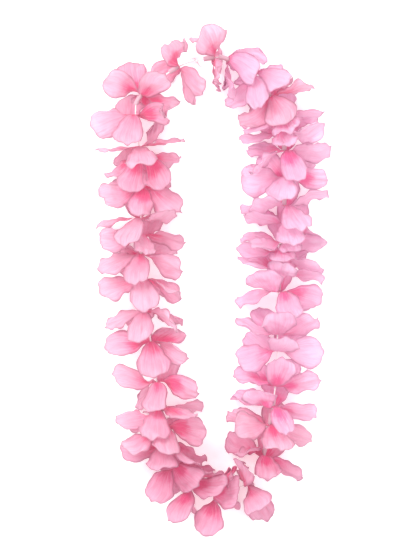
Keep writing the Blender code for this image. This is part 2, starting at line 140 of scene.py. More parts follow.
class Graph:
    """The node tree of one material."""

    def __init__(self, name: str) -> None:
        """Starts an empty tree in a new material of this name."""
        self.material = bpy.data.materials.new(name)
        self.material.use_nodes = True
        self.tree = self.material.node_tree
        self.tree.nodes.clear()

    def node(self, kind: str, inputs: dict | None = None, stops: tuple = (), **settings: object) -> Shade:
        """Adds a node.

        Args:
            kind: The node's type.
            inputs: The value or the wire of each socket, by name or number.
            stops: A colour ramp's stops, each its place and colour.
            settings: The node's own settings, which are set first.

        Returns:
            The new node.
        """
        node = self.tree.nodes.new(kind)
        for name, value in settings.items():
            setattr(node, name, value)
        for i, (place, colour) in enumerate(stops):
            # A new ramp already has two stops.
            elements = node.color_ramp.elements
            element = elements[i] if i < 2 else elements.new(place)
            element.position = place
            element.color = colour
        for name, value in (inputs or {}).items():
            if isinstance(value, Wire):
                self.tree.links.new(value.socket, node.inputs[name])
            else:
                node.inputs[name].default_value = value
        return Shade(self, node)

    def mix(self, factor: Wire | float, first: Wire | tuple, second: Wire | tuple) -> Wire:
        """Mixes two colours, through the node's sockets 6 and 7 to its output 2.

        Args:
            factor: The share of the second colour.
            first: The first colour.
            second: The second colour.

        Returns:
            The mixed colour.
        """
        return self.node("ShaderNodeMix", {0: factor, 6: first, 7: second}, data_type="RGBA").out(2)

    def noise(self, place: Wire, scale: float, detail: float, roughness: float = 0.5) -> Wire:
        """Adds a smooth noise.

        Args:
            place: Where the noise is read.
            scale: How finely it changes.
            detail: How many finer layers it has.
            roughness: How strong those layers are.

        Returns:
            The noise, about 0 to 1.
        """
        inputs = {"Vector": place, "Scale": scale, "Detail": detail, "Roughness": roughness}
        return self.node("ShaderNodeTexNoise", inputs).out()

    def bump(self, height: Wire, strength: float, depth: float) -> Wire:
        """Adds a bump of a height and gives its normal."""
        inputs = {"Strength": strength, "Distance": depth, "Height": height}
        return self.node("ShaderNodeBump", inputs).out()

    def own_place(self) -> Wire:
        """The place on the piece itself, in metres."""
        return self.node("ShaderNodeTexCoord").out("Object")

    def finish(self, shader: Wire) -> bpy.types.Material:
        """Joins the shader to the material's output and returns the material."""
        self.node("ShaderNodeOutputMaterial", {"Surface": shader})
        return self.material


class DyeLot(Enum):
    """The three lots of cloth that the sheets are cut from."""

    ROSE = "rose"
    DEEP = "deep"
    LILAC = "lilac"


class ClothSide(Enum):
    """The sides of the cloth: the dye is laid on the face and shows through paler on the reverse."""

    FACE = "face"
    REVERSE = "reverse"

    def paling(self) -> float:
        """How much paler the dye reads on this side."""
        return -0.03 if self is ClothSide.FACE else 0.17


@dataclass(frozen=True)
class ClothMarks:
    """The wires that the cloth's dye and bump follow.

    Reach goes from hub to tip and across goes from side to side. The rim nears 1 at the cut edge, and the
    tone is the petal's own.
    """

    reach: Wire
    across: Wire
    rim: Wire
    tone: Wire
    cloud: Wire
    grain: Wire
    pleat: Wire
    weave: Wire


@dataclass(frozen=True)
class PetalCloth:
    """Thin woven polyester, dyed hot pink at the throat and paler to the tips, with hot-cut edges and
    painted shade along them.
    """

    lot: DyeLot
    side: ClothSide
    # The colours: the dye from throat to tip, then the cut edge and its painted outline shade, worn threads,
    # the light through the cloth and a painted pink glow.
    throat: tuple = linear(206, 48, 102)
    warm: tuple = linear(213, 110, 147)
    mid: tuple = linear(217, 160, 183)
    body: tuple = linear(220, 178, 197)
    pale: tuple = linear(223, 199, 214)
    # The cut edge's colour is partly the seared cut and partly painted shade along the petal's outline.
    edge: tuple = linear(160, 98, 122)
    worn: tuple = linear(255, 240, 246)
    through: tuple = linear(243, 226, 234)
    # A pink glow of the cloth itself, not a lamp: painted light that lifts the shade in its folds.
    painted_glow: tuple = linear(255, 128, 166)
    painted_glow_strength: float = 0.21
    # Each noise has its scale, detail and roughness. The streaks are counted across, along and by petal.
    cloud: tuple = (9.0, 4.0, 0.6)
    grain: tuple = (60.0, 3.0, 0.7)
    pleat: tuple = (1.0, 2.0, 0.5)
    streaks: tuple = (26.0, 2.2, 9.0)
    weave_scale: float = 26.0
    weave_distortion: float = 0.6
    # How far along the petal each colour of the dye lies, and what moves it.
    fade_places: tuple = (0.14, 0.25, 0.37, 0.60, 0.98)
    cloud_fade: float = 0.46
    tone_fade: float = 0.32
    pleat_fade: float = 0.30
    flare_tone: float = 0.62
    flare_narrowing: float = 1.1
    flare_dye: float = 1.1
    # Where the worn threads, painted pleat shade and highlight, painted crease lines and the cut edge's band
    # begin, and how strongly each is tinted.
    wear_from: float = 0.35
    wear_tint: float = 0.15
    hollow_shade_below: float = 0.50
    hollow_shade: float = 2.6
    ridge_highlight_above: float = 0.54
    ridge_highlight: float = 2.2
    crease_line_at: float = 0.52
    crease_line_width: float = 0.014
    crease_line_shade: float = 40.0
    rim_falloff: float = 0.85
    cut_edge_and_outline_shade: float = 0.95
    # The surface: what raises it, how rough and glossy it is, and the share of light that passes.
    pleat_height: float = 0.9
    cloud_height: float = 0.8
    weave_height: float = 0.04
    grain_height: float = 0.22
    bump_strength: float = 0.75
    bump_depth: float = 1.7 * MM
    roughness: float = 0.75
    roughness_spread: float = 0.18
    sheen: float = 0.25
    sheen_roughness: float = 0.4
    gloss: float = 0.3
    light_start: float = 0.1
    light_gain: float = 0.9
    light_least: float = 0.12
    light_most: float = 0.52

    @classmethod
    def of(cls, lot: DyeLot, side: ClothSide) -> "PetalCloth":
        """The cloth of one dye lot, seen from one side.

        Args:
            lot: The dye lot.
            side: The side of the cloth.

        Returns:
            The finish.
        """
        dyes = {
            DyeLot.ROSE: {},
            DyeLot.DEEP: {
                "throat": linear(186, 36, 92), "warm": linear(200, 94, 133), "mid": linear(205, 142, 167),
                "body": linear(209, 162, 183), "pale": linear(217, 188, 206), "edge": linear(148, 84, 110),
                "through": linear(236, 210, 222)},
            DyeLot.LILAC: {
                "throat": linear(210, 66, 124), "warm": linear(219, 128, 166), "mid": linear(221, 173, 196),
                "body": linear(224, 191, 211), "pale": linear(226, 206, 223), "edge": linear(172, 108, 138),
                "through": linear(246, 231, 241), "painted_glow": linear(255, 138, 182)},
        }
        return cls(lot, side, **dyes[lot])

    def marks(self, g: Graph) -> ClothMarks:
        """Reads the piece's petal attribute and lays noise and weave on its cut map.

        Args:
            g: The material's graph.

        Returns:
            The wires that the dye and the bump follow.
        """
        petal = g.node("ShaderNodeVertexColor", layer_name="petal")
        parts = g.node("ShaderNodeSeparateColor", {0: petal.out()})
        reach, across, rim = parts.out(0), parts.out(1), parts.out(2)
        tone = petal.out(1)
        place = g.node("ShaderNodeUVMap", uv_map="cut").out()
        wide, long, apart = self.streaks
        streak = g.node("ShaderNodeCombineXYZ", {0: across * wide, 1: reach * long, 2: tone * apart}).out()
        threads = {"Vector": place, "Scale": self.weave_scale, "Distortion": self.weave_distortion,
                   "Detail": 1.0}
        warp, weft = (g.node("ShaderNodeTexWave", threads, bands_direction=way).out(1) for way in "XY")
        return ClothMarks(
            reach, across, rim, tone, cloud=g.noise(place, *self.cloud), grain=g.noise(place, *self.grain),
            pleat=g.noise(streak, *self.pleat), weave=warp + weft)

    def fade(self, marks: ClothMarks) -> Wire:
        """How far the dye has paled: about 0 at the throat and 1 at the tip.

        A petal of a low tone has a flare of dye up its middle.

        Args:
            marks: The cloth's wires.

        Returns:
            The fade.
        """
        off_middle = ((marks.across - 0.5) * 2.0).maths("ABSOLUTE")
        flare = marks.tone.below(self.flare_tone) * (off_middle * self.flare_narrowing).below(1.0)
        fade = marks.reach + (marks.cloud - 0.5) * self.cloud_fade
        fade = fade + (marks.tone - 0.5) * self.tone_fade + (marks.pleat - 0.5) * self.pleat_fade
        return fade - flare * (1.0 - marks.reach) * self.flare_dye + self.side.paling()

    def colour(self, g: Graph, marks: ClothMarks, fade: Wire) -> Wire:
        """The dye with worn threads, painted pleat shade and highlight, painted crease lines and a cut edge
        with painted shade.

        Args:
            g: The material's graph.
            marks: The cloth's wires.
            fade: How far the dye has paled.

        Returns:
            The cloth's colour.
        """
        dyes = (self.throat, self.warm, self.mid, self.body, self.pale)
        dyed = g.node("ShaderNodeValToRGB", {0: fade}, stops=tuple(zip(self.fade_places, dyes))).out()
        worn = g.mix((marks.grain - self.wear_from) * self.wear_tint, dyed, self.worn)
        # Painted shade where the bump's pleats dip, and a painted highlight where they rise.
        hollow_shaded = g.mix(marks.pleat.below(self.hollow_shade_below) * self.hollow_shade, worn, self.warm)
        ridge_lit = g.mix(marks.pleat.above(self.ridge_highlight_above) * self.ridge_highlight, hollow_shaded, self.pale)
        # Painted shade: thin darker lines along the pleats stand in for the shade of creases.
        crease_lines = (marks.pleat - self.crease_line_at).maths("ABSOLUTE").below(self.crease_line_width)
        crease_shaded = g.mix(crease_lines * self.crease_line_shade, ridge_lit, self.warm)
        # The band at the cut edge: partly the seared cut, partly painted outline shade.
        return g.mix(marks.rim ** self.rim_falloff * self.cut_edge_and_outline_shade, crease_shaded, self.edge)

    def material(self) -> bpy.types.Material:
        """Builds the material: dyed cloth that lets some light through, more towards the tips.

        Returns:
            The material.
        """
        g = Graph(f"petal_cloth_{self.lot.value}_{self.side.value}")
        marks = self.marks(g)
        fade = self.fade(marks)
        height = (marks.pleat * self.pleat_height + marks.cloud * self.cloud_height
                  + marks.weave * self.weave_height + marks.grain * self.grain_height)
        # The cloth's emission is a painted pink glow that lifts its shade.
        cloth = g.node("ShaderNodeBsdfPrincipled", {
            "Base Color": self.colour(g, marks, fade),
            "Roughness": self.roughness + (marks.grain - 0.5) * self.roughness_spread,
            "Normal": g.bump(height, self.bump_strength, self.bump_depth),
            "Sheen Weight": self.sheen, "Sheen Roughness": self.sheen_roughness,
            "Specular IOR Level": self.gloss,
            "Emission Color": self.painted_glow, "Emission Strength": self.painted_glow_strength}).out()
        glow = g.node("ShaderNodeBsdfTranslucent", {"Color": self.through}).out()
        passing = fade * self.light_gain + self.light_start
        passing = passing.maths("MAXIMUM", self.light_least).maths("MINIMUM", self.light_most)
        return g.finish(g.node("ShaderNodeMixShader", {0: passing, 1: cloth, 2: glow}).out())


@dataclass(frozen=True)
class Thread:
    """White twisted cotton thread, a little fuzzy."""

    light: tuple = linear(252, 251, 250)
    dark: tuple = linear(232, 228, 226)
    fuzz_scale: float = 2600.0
    fuzz_strength: float = 0.5
    fuzz_depth: float = 0.1 * MM
    roughness: float = 0.85
    sheen: float = 0.3

    def material(self) -> bpy.types.Material:
        """Builds the material on the piece's own place."""
        g = Graph("string_white")
        fuzz = g.noise(g.own_place(), self.fuzz_scale, detail=3.0)
        return g.finish(g.node("ShaderNodeBsdfPrincipled", {
            "Base Color": g.mix(fuzz, self.dark, self.light), "Roughness": self.roughness,
            "Normal": g.bump(fuzz, self.fuzz_strength, self.fuzz_depth), "Sheen Weight": self.sheen}).out())


@dataclass(frozen=True)
class StrawPlastic:
    """Thin milky plastic of a cut straw, faintly mottled, tinted with a painted pink reflection of the
    cloth.
    """

    # Both colours are the straw's white with a painted pink reflection of the cloth around it; the mottle
    # mixes them.
    colour: tuple = linear(226, 192, 204)
    darker_pink_reflection: tuple = linear(216, 178, 192)
    mottle_scale: float = 700.0
    mottle_strength: float = 0.15
    mottle_depth: float = 0.1 * MM
    roughness: float = 0.34
    gloss: float = 0.5
    milkiness: float = 0.35

    def material(self) -> bpy.types.Material:
        """Builds the material on the piece's own place."""
        g = Graph("straw_white")
        mottle = g.noise(g.own_place(), self.mottle_scale, detail=2.0)
        body = g.node("ShaderNodeBsdfPrincipled", {
            "Base Color": g.mix(mottle, self.darker_pink_reflection, self.colour), "Roughness": self.roughness,
            "Normal": g.bump(mottle, self.mottle_strength, self.mottle_depth),
            "Specular IOR Level": self.gloss}).out()
        glow = g.node("ShaderNodeBsdfTranslucent", {"Color": self.colour}).out()
        return g.finish(g.node("ShaderNodeMixShader", {0: self.milkiness, 1: body, 2: glow}).out())


@dataclass(frozen=True)
class FloorPaper:
    """White studio paper on a faintly lit table."""

    colour: tuple = linear(252, 252, 252)
    glow: float = 0.22
    tooth_scale: float = 900.0
    tooth_strength: float = 0.05
    tooth_depth: float = 0.2 * MM
    roughness: float = 0.9
    gloss: float = 0.1

    def material(self) -> bpy.types.Material:
        """Builds the material on the piece's own place."""
        g = Graph("floor_paper")
        tooth = g.noise(g.own_place(), self.tooth_scale, detail=2.0)
        return g.finish(g.node("ShaderNodeBsdfPrincipled", {
            "Base Color": self.colour, "Roughness": self.roughness,
            "Normal": g.bump(tooth, self.tooth_strength, self.tooth_depth), "Specular IOR Level": self.gloss,
            "Emission Color": self.colour, "Emission Strength": self.glow}).out())


def eased(knots: np.ndarray, values: np.ndarray, at: np.ndarray) -> np.ndarray:
    """A smooth curve through points.

    Args:
        knots: Where each point is along the curve.
        values: The points, one row each.
        at: Where the curve is wanted.

    Returns:
        One row for each place in at.
    """
    steps = np.diff(knots)[:, None]
    secants = np.diff(values, axis=0) / steps
    inner = (secants[:-1] * steps[1:] + secants[1:] * steps[:-1]) / (steps[1:] + steps[:-1])
    slopes = np.vstack([secants[:1], inner, secants[-1:]])
    at = np.clip(at, knots[0], knots[-1])
    i = np.clip(np.searchsorted(knots, at, side="right") - 1, 0, len(knots) - 2)
    span = (knots[i + 1] - knots[i])[:, None]
    t = (at - knots[i])[:, None] / span
    start = (2.0 * t ** 3 - 3.0 * t ** 2 + 1.0) * values[i] + (t ** 3 - 2.0 * t ** 2 + t) * span * slopes[i]
    return start + (3.0 * t ** 2 - 2.0 * t ** 3) * values[i + 1] + (t ** 3 - t ** 2) * span * slopes[i + 1]


class SheetNet:
    """Reads the hub's two rings and the petals' rows back from one bloom's solid."""

    HUB = (1.4 * MM, 3.8 * MM)
    SPREAD = math.radians(22.0)
    ROWS = (7.5 * MM, 17.5 * MM, 27.5 * MM, 36.5 * MM, 43.5 * MM)
    HALF_WIDTHS = (2.81 * MM, 11.2 * MM, 17.6 * MM, 19.0 * MM, 12.8 * MM)
    TIP = 47.0 * MM
    WELD = 0.001 * MM
    # Twins lie this near, and those with the most neighbours that are twins too are paired first.
    WALL_REACH = 1.3 * MM
    AGREEMENT = (9, 3, 2, 1, 0)
    LONE_CORNERS = 2
    LONGEST_FAN = 9

    def __init__(self, node: bpy.types.Object) -> None:
        """Reads the node's mesh, which is only copied."""
        self.name = node.name
        solid = bmesh.new()
        solid.from_mesh(node.data)
        bmesh.ops.remove_doubles(solid, verts=solid.verts, dist=self.WELD)
        solid.verts.ensure_lookup_table()
        self.corners = [tuple(v.co) for v in solid.verts]
        self.faces = [tuple(v.index for v in f.verts) for f in solid.faces]
        links = [{e.other_vert(v).index for e in v.link_edges} for v in solid.verts]
        solid.free()
        group = self.twins(links)
        self.middle = np.zeros((len(set(group)), 3))
        counts = np.zeros(len(self.middle))
        for corner, home in zip(self.corners, group):
            self.middle[home] += corner
            counts[home] += 1.0
        self.middle /= counts[:, None]
        self.thirds: dict[frozenset, list[int]] = {}
        for triangle in self.one_side(group):
            for corner in triangle:
                self.thirds.setdefault(triangle - {corner}, []).append(corner)
        self.beside: dict[int, set[int]] = {}
        for edge, corners in self.thirds.items():
            if len(corners) == 1:
                first, second = edge
                self.beside.setdefault(first, set()).add(second)
                self.beside.setdefault(second, set()).add(first)
        self.rings, self.petals = self.read_round()

    def one_side(self, group: list[int]) -> list[frozenset]:
        """The triangles of one face of the sheet, without the other face and the cut edge.

        Args:
            group: For each corner, the number of its pair.

        Returns:
            The triangles, by their pairs' numbers.
        """
        flat = [face for face in self.faces if len({group[i] for i in face}) == 3]
        along: dict[frozenset, list[int]] = {}
        for i, face in enumerate(flat):
            for corner in face:
                along.setdefault(frozenset(face) - {corner}, []).append(i)
        seen, queue = {0}, [0]
        while queue:
            face = frozenset(flat[queue.pop()])
            for corner in face:
                for i in along[face - {corner}]:
                    if i not in seen:
                        seen.add(i)
                        queue.append(i)
        return [frozenset(group[i] for i in flat[j]) for j in seen]

    def twins(self, links: list[set[int]]) -> list[int]:
        """Pairs each corner of one face of the sheet with its twin on the other.

        A tip that lies flat on the floor can lose a corner from one face, so up to two stay single.

        Args:
            links: The corners that each corner shares an edge with.

        Returns:
            For each corner, the number of its pair.
        """
        tree = KDTree(len(self.corners))
        for i, corner in enumerate(self.corners):
            tree.insert(corner, i)
        tree.balance()
        near = []
        for own, corner in enumerate(self.corners):
            near.append([i for _, i, _ in tree.find_range(corner, self.WALL_REACH) if i != own])
        twin: dict[int, int] = {}
        for need in self.AGREEMENT:
            for v in range(len(near)):
                options = [c for c in near[v] if c not in twin]
                if v in twin or not options:
                    continue
                scores = [sum(twin.get(n) in links[c] for n in links[v] if n in twin) for c in options]
                best = scores.index(max(scores))
                if len(near[v]) == 1 or scores[best] >= need:
                    twin[v], twin[options[best]] = options[best], v
        lone = [v for v in range(len(near)) if v not in twin]
        if len(lone) > self.LONE_CORNERS:
            raise ValueError(f"{self.name}: {len(lone)} corners have no twin")
        homes: dict[int, int] = {}
        for v in range(len(near)):
            other = twin.get(v, v)
            homes[v] = homes[other] if other in homes else len(set(homes.values()))
        return [homes[v] for v in range(len(near))]

    def third(self, a: int, b: int, known: int) -> int | None:
        """The corner across the edge a to b from a known one, or None past the sheet's edge."""
        others = [c for c in self.thirds.get(frozenset((a, b)), []) if c != known]
        return others[0] if others else None

    def edge_loop(self, start: int) -> list[int]:
        """The corners along the sheet's edge from a start round to it again.

        Args:
            start: A corner on the edge.

        Returns:
            The corners in order, the start first.
        """
        loop = [start, min(self.beside[start])]
        while True:
            onward = self.beside[loop[-1]] - {loop[-2]}
            step = min(onward) if onward else start
            if step == start:
                return loop
            loop.append(step)

    def read_round(self) -> tuple[np.ndarray, list]:
        """Finds the hub's rings and the five petals.

        Returns:
            The hole's and the flat's corners, and each petal's rows of points, the tip last.
        """
        loops = {frozenset(loop): loop for loop in map(self.edge_loop, self.beside)}
        hole = min(loops.values(), key=len)
        outer = max(loops.values(), key=len)
        flat = [self.third(hole[k - 1], hole[k], -1) for k in range(PETALS)]
        petals = []
        for k in range(PETALS):
            before, own, after = flat[k - 1], flat[k], flat[(k + 1) % PETALS]
            known = next(c for c in self.thirds[frozenset((before, own))] if c in hole)
            fan = [before]
            while fan[-1] != after and len(fan) < self.LONGEST_FAN:
                following = self.third(own, fan[-1], known)
                known = fan[-1]
                fan.append(following)
            place = next(i for i in range(1, len(fan) - 1) if fan[i] not in self.beside)
            petals.append(self.read_petal(outer, *fan[place - 1:place + 2]))
        return np.array([self.middle[hole], self.middle[flat]]), petals

    def read_petal(self, outer: list[int], left: int, middle: int, right: int) -> list[np.ndarray]:
        """Reads one petal's rows from its edge and its inner corners.

        Args:
            outer: The corners along the sheet's outer edge.
            left: The base row's left corner.
            middle: The base row's middle corner.
            right: The base row's right corner.

        Returns:
            The rows of points, left, middle and right, and the tip last.
        """
        start, end = outer.index(left), outer.index(right)
        forward = [outer[(start + i) % len(outer)] for i in range((end - start) % len(outer) + 1)]
        backward = [outer[(start - i) % len(outer)] for i in range((start - end) % len(outer) + 1)]
        path = min(forward, backward, key=len)
        edge = self.full_edge(self.middle[path])
        rim = set(path[1:-1])
        inner = {c for e, corners in self.thirds.items() for c in corners if e & rim}
        inner |= {c for e, corners in self.thirds.items() if set(corners) & rim for c in e}
        inner -= set(self.beside) | {middle}
        tip = len(self.ROWS)
        centres = [0.5 * (edge[i] + edge[-1 - i]) for i in range(tip)]
        gaps = sorted((float(np.linalg.norm(self.middle[c] - centres[i])), i, c)
                      for c in inner for i in range(1, tip))
        found = {0: middle}
        for _, i, c in gaps:
            if i not in found and c not in found.values():
                found[i] = c
        rows = []
        for i, centre in enumerate(centres):
            inside = self.middle[found[i]] if i in found else centre
            rows.append(np.array([edge[i], inside, edge[-1 - i]]))
        return rows + [edge[tip:tip + 1]]

    def full_edge(self, path: np.ndarray) -> np.ndarray:
        """A petal's edge points, with any put back that the solid's flat tip has dropped.

        Args:
            path: The points that the solid has.

        Returns:
            The points from the base's left to its right: one for each end of a row, and the tip.
        """
        flat = np.array([(-w, r) for w, r in zip(self.HALF_WIDTHS, self.ROWS)] + [(0.0, self.TIP)]
                        + [(w, r) for w, r in zip(self.HALF_WIDTHS[::-1], self.ROWS[::-1])])
        wanted = np.linalg.norm(np.diff(flat, axis=0), axis=1)
        while len(path) < len(flat):
            sizes = np.linalg.norm(np.diff(path, axis=0), axis=1)
            errors = []
            for lost in range(1, len(path)):
                both = wanted[lost - 1] + wanted[lost]
                joined = np.concatenate([wanted[:lost - 1], [both], wanted[lost + 1:]])
                errors.append(float(np.abs(sizes - joined[:len(sizes)]).sum()))
            lost = 1 + errors.index(min(errors))
            share = wanted[lost - 1] / (wanted[lost - 1] + wanted[lost])
            extra = path[lost - 1] * (1.0 - share) + path[lost] * share
            path = np.insert(path, lost, extra, axis=0)
        return path

    def hub(self) -> Vector:
        """The centre of the hole."""
        return Vector(self.rings[0].mean(axis=0))

    def ring_point(self, ring: int, turn: float) -> np.ndarray:
        """A point of a hub ring, on the round curve through its corners.

        Args:
            ring: The ring, 0 for the hole and 1 for the flat.
            turn: How many petals round from the first.

        Returns:
            The point.
        """
        out = self.rings[ring].mean(axis=0)
        for wave in (1, 2):
            for part in (math.cos, math.sin):
                weights = [part(TURN * wave * k / PETALS) for k in range(PETALS)]
                size = 2.0 / PETALS * sum(w * p for w, p in zip(weights, self.rings[ring]))
                out = out + size * part(TURN * wave * turn / PETALS)
        return out

    def spread(self, k: int, across: np.ndarray, along: np.ndarray) -> np.ndarray:
        """Lays the flat places of one petal on the bent sheet.

        Args:
            k: The petal.
            across: How far each place is to the side of the petal's middle line.
            along: How far each is out from the hub.

        Returns:
            The places on the sheet, one row each.
        """
        aside = self.SPREAD / (TURN / PETALS)
        stations = []
        for ring, radius in enumerate(self.HUB):
            row = [self.ring_point(ring, k + step) for step in (-aside, 0.0, aside)]
            stations.append((radius, radius * math.sin(self.SPREAD), row))
        stations += zip(self.ROWS, self.HALF_WIDTHS, self.petals[k])
        knots, middles, tilts, cups = [], [], [], []
        for radius, half, (left, middle, right) in stations:
            knots.append(radius)
            middles.append(middle)
            tilts.append((right - left) / (2.0 * half))
            cups.append(((right + left) / 2.0 - middle) / half ** 2)
        middles.append(self.petals[k][-1][0])
        line = eased(np.array(knots + [self.TIP]), np.array(middles), along)
        past = np.clip(along - self.TIP, 0.0, None)[:, None]
        line += past * (middles[-1] - middles[-2]) / (self.TIP - self.ROWS[-1])
        tilt = eased(np.array(knots), np.array(tilts), along)
        cup = eased(np.array(knots), np.array(cups), along)
        return line + across[:, None] * tilt + across[:, None] ** 2 * cup


@dataclass
class FlowerCut:
    """The flat flower that each sheet is cut to: a holed hub and five broad petals.

    A grid is rolled round the hub, in columns across each petal and the gap after it, and rows outwards.
    """

    columns: int = 14
    gap_columns: int = 2
    rows: int = 20
    hub_rings: tuple = (1.4 * MM, 2.4 * MM, 3.8 * MM, 5.5 * MM, 7.5 * MM)
    hub_inset: float = 20.0 * MM
    edge_reach: float = 40.0 * MM
    tip: float = 47.2 * MM
    side_knots: tuple = (7.5 * MM, 12.5 * MM, 17.5 * MM, 27.5 * MM, 34.0 * MM, 40.0 * MM)
    side_widths: tuple = (2.81 * MM, 7.4 * MM, 11.6 * MM, 17.6 * MM, 19.2 * MM, 17.2 * MM)
    side_wave: float = 0.035
    side_waves: float = 11.0
    side_wave_start: float = 0.6
    tip_roundness: float = 2.3
    tip_wave: float = 0.9 * MM
    tip_waves: float = 8.2
    tip_trim: float = 0.4 * MM
    tip_sharpness: int = 6
    # The side of the square that the cut's map covers.
    map_side: float = 0.1
    # The cut mesh and its area, and for each of its points the petal, the side of it from -1 to 1, the share
    # of the gap that is crossed, the place in the petal, the petal's width there and the way to its edge.
    mesh: bpy.types.Mesh = field(init=False)
    area: float = field(init=False)
    petal: np.ndarray = field(init=False)
    side: np.ndarray = field(init=False)
    between: np.ndarray = field(init=False)
    across: np.ndarray = field(init=False)
    along: np.ndarray = field(init=False)
    width: np.ndarray = field(init=False)
    inset: np.ndarray = field(init=False)

    def __post_init__(self) -> None:
        """Cuts the flower once, for every bloom to copy."""
        hub_rows = len(self.hub_rings) - 1
        repeat = self.columns + self.gap_columns
        count, height = PETALS * repeat, hub_rows + self.rows
        sheet = bmesh.new()
        labels = sheet.verts.layers.int.new("label")
        uv = sheet.loops.layers.uv.new("cut")
        bmesh.ops.create_grid(sheet, x_segments=count, y_segments=height, size=1.0)
        column = {v: round((v.co.x + 1.0) / 2.0 * count) for v in sheet.verts}
        row = {v: round((v.co.y + 1.0) / 2.0 * height) for v in sheet.verts}
        notch = [f for f in sheet.faces if min(row[v] for v in f.verts) >= hub_rows
                 and min(column[v] for v in f.verts) % repeat >= self.columns]
        for v in sheet.verts:
            v[labels] = (column[v] % count) * (height + 1) + row[v]
            turn = TURN * (column[v] % count) / count
            v.co = Vector((math.sin(turn), math.cos(turn), 0.0)) * (1.0 + row[v])
        bmesh.ops.delete(sheet, geom=notch, context="FACES")
        bmesh.ops.remove_doubles(sheet, verts=sheet.verts, dist=1e-4)
        columns, rows = np.divmod([v[labels] for v in sheet.verts], height + 1)
        self.read_places(columns, rows, repeat, hub_rows)
        for v, (x, y) in zip(sheet.verts, self.flat_places()):
            v.co = Vector((x, y, 0.0))
            for loop in v.link_loops:
                loop[uv].uv = (0.5 + x / self.map_side, 0.5 + y / self.map_side)
        self.area = sum(f.calc_area() for f in sheet.faces)
        self.mesh = mesh_of("flower_cut", sheet)

    def read_places(self, columns: np.ndarray, rows: np.ndarray, repeat: int, hub_rows: int) -> None:
        """Works out where each point of the grid lies in its petal.

        Args:
            columns: Each point's column.
            rows: Each point's row.
            repeat: The columns from one petal to the next.
            hub_rows: The rows of the hub.
        """
        self.petal, place = columns // repeat, columns % repeat
        self.between = np.clip((place - self.columns) / self.gap_columns, 0.0, 1.0)
        self.side = np.clip(2.0 * place / self.columns - 1.0, -1.0, 1.0)
        hub = rows <= hub_rows
        radius = np.array(self.hub_rings)[np.minimum(rows, hub_rows)]
        u = np.clip((rows - hub_rows) / self.rows, 0.0, 1.0)
        edge = self.side_knots[0] + (self.edge_reach - self.side_knots[0]) * u
        centre = self.side_knots[0] + (self.tip - self.side_knots[0]) * u
        width = eased(np.array(self.side_knots), np.array(self.side_widths)[:, None], edge)[:, 0]
        width = width * (1.0 + self.side_wave * np.sin(u * self.side_waves + self.side_wave_start))
        wavy = self.tip_wave * np.cos(self.side * self.tip_waves) - self.tip_trim
        centre = centre + u ** self.tip_sharpness * wavy
        sag = np.abs(self.side) ** self.tip_roundness
        self.across = np.where(hub, self.side * radius * math.sin(SheetNet.SPREAD), self.side * width)
        self.along = np.where(hub, radius, centre - (centre - edge) * sag)
        self.width = np.where(hub, 0.0, width)
        to_side = width * (1.0 - np.abs(self.side))
        to_tip = (1.0 - u) * (self.tip - self.side_knots[0])
        self.inset = np.where(hub, self.hub_inset, np.minimum(to_side, to_tip))

    def flat_places(self) -> np.ndarray:
        """The places of the flat flower's points."""
        def turned(petal: np.ndarray, across: np.ndarray) -> np.ndarray:
            """Turns petal places round the hub."""
            angle = petal * TURN / PETALS
            x = across * np.cos(angle) + self.along * np.sin(angle)
            y = self.along * np.cos(angle) - across * np.sin(angle)
            return np.column_stack([x, y])
        own, following = turned(self.petal, self.across), turned(self.petal + 1, -self.across)
        weight = self.between[:, None]
        return own * (1.0 - weight) + following * weight


